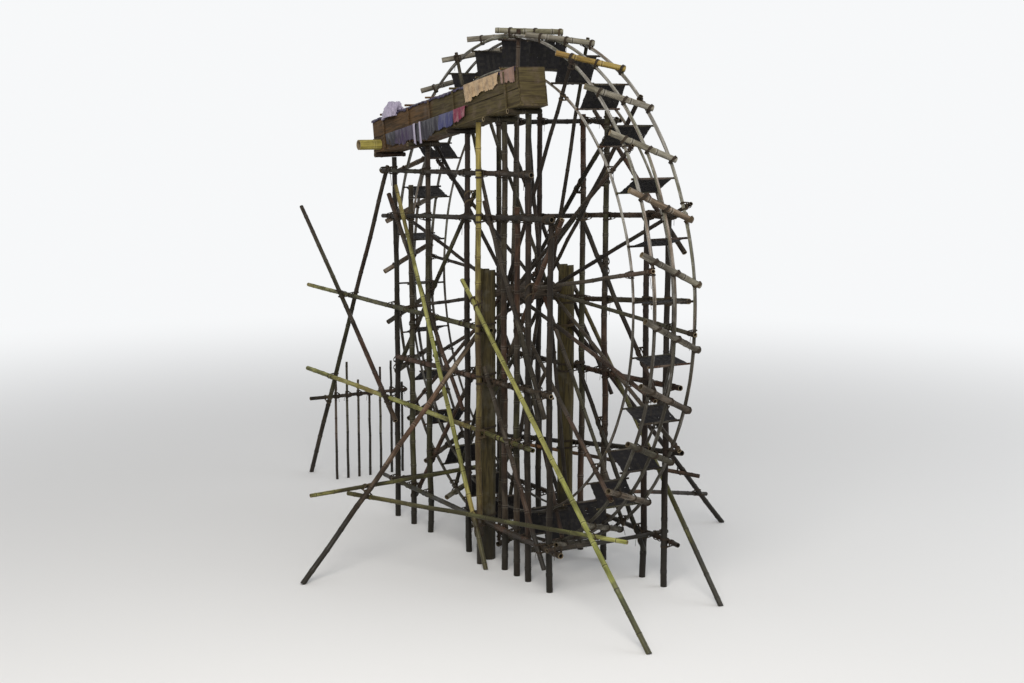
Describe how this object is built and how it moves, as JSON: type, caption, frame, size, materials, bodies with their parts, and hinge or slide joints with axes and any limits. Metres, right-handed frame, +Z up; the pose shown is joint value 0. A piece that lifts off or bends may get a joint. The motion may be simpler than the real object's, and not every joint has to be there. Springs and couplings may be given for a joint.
{
  "type": "water wheel",
  "caption": "Undershot bamboo water wheel with tilted bucket tubes, in a lashed pole frame with a trough and spout.",
  "frame": {"origin": "on the river bed, under the middle of the footprint", "axes": "+X along the axle, away from the trough; +Y upstream, the length of the frame; +Z up"},
  "size_m": [6.8742, 10.5906, 7.3612],
  "materials": {
    "weathered_bamboo": "weathered dark brown bamboo, matt",
    "bleached_bamboo": "sun-bleached split bamboo, matt",
    "tube_bamboo": "grey-brown bamboo tube with pale cut ends",
    "yellow_bamboo": "yellow bamboo, satin",
    "green_bamboo": "yellow-green bamboo, satin",
    "axle_log": "dark wet log",
    "post_wood": "olive-brown timber, rough",
    "woven_mat": "black-brown woven bamboo mat",
    "trough_board": "brown board, rough",
    "plastic_sheet": "blue-violet plastic sheet",
    "sack_cloth": "tan sack cloth"
  },
  "bodies": {
    "frame": {"bank_bearing_post": "post_wood", "river_bearing_post": "post_wood", "bank_posts": "weathered_bamboo", "river_posts": "weathered_bamboo", "tall_post": "yellow_bamboo", "bank_ledgers": "weathered_bamboo", "river_ledgers": "weathered_bamboo", "upstream_ledgers": "green_bamboo", "bank_braces": "weathered_bamboo", "river_braces": "weathered_bamboo", "bank_cross_braces": "weathered_bamboo", "river_cross_braces": "weathered_bamboo", "bank_prop": "weathered_bamboo", "river_prop": "weathered_bamboo", "bank_raker": "green_bamboo", "river_raker": "green_bamboo", "bank_sills": "weathered_bamboo", "river_sills": "weathered_bamboo", "cross_ties": "weathered_bamboo", "trestle": "weathered_bamboo", "rack_rail": "weathered_bamboo", "rack_stakes": "weathered_bamboo", "trough_bearers": "weathered_bamboo", "trough_floor": "trough_board", "trough_inner_wall": "trough_board", "trough_outer_wall": "trough_board", "trough_end_boards": "trough_board", "trough_lining": "plastic_sheet", "trough_patch": "sack_cloth", "spout": "yellow_bamboo"},
    "wheel": {"axle": "axle_log", "bank_spokes": "weathered_bamboo", "river_spokes": "weathered_bamboo", "bank_rim": "bleached_bamboo", "middle_rim": "bleached_bamboo", "river_rim": "bleached_bamboo", "bank_hoop": "bleached_bamboo", "river_hoop": "bleached_bamboo", "paddles": "woven_mat", "rising_tubes": "tube_bamboo", "falling_tubes": "tube_bamboo"}
  },
  "joints": [
    {"name": "wheel_turn", "type": "hinge", "parent": "frame", "child": "wheel", "pos_m": [0, -0.84648, 3.75], "axis": [-1, 0, 0], "continuous": true}
  ]
}
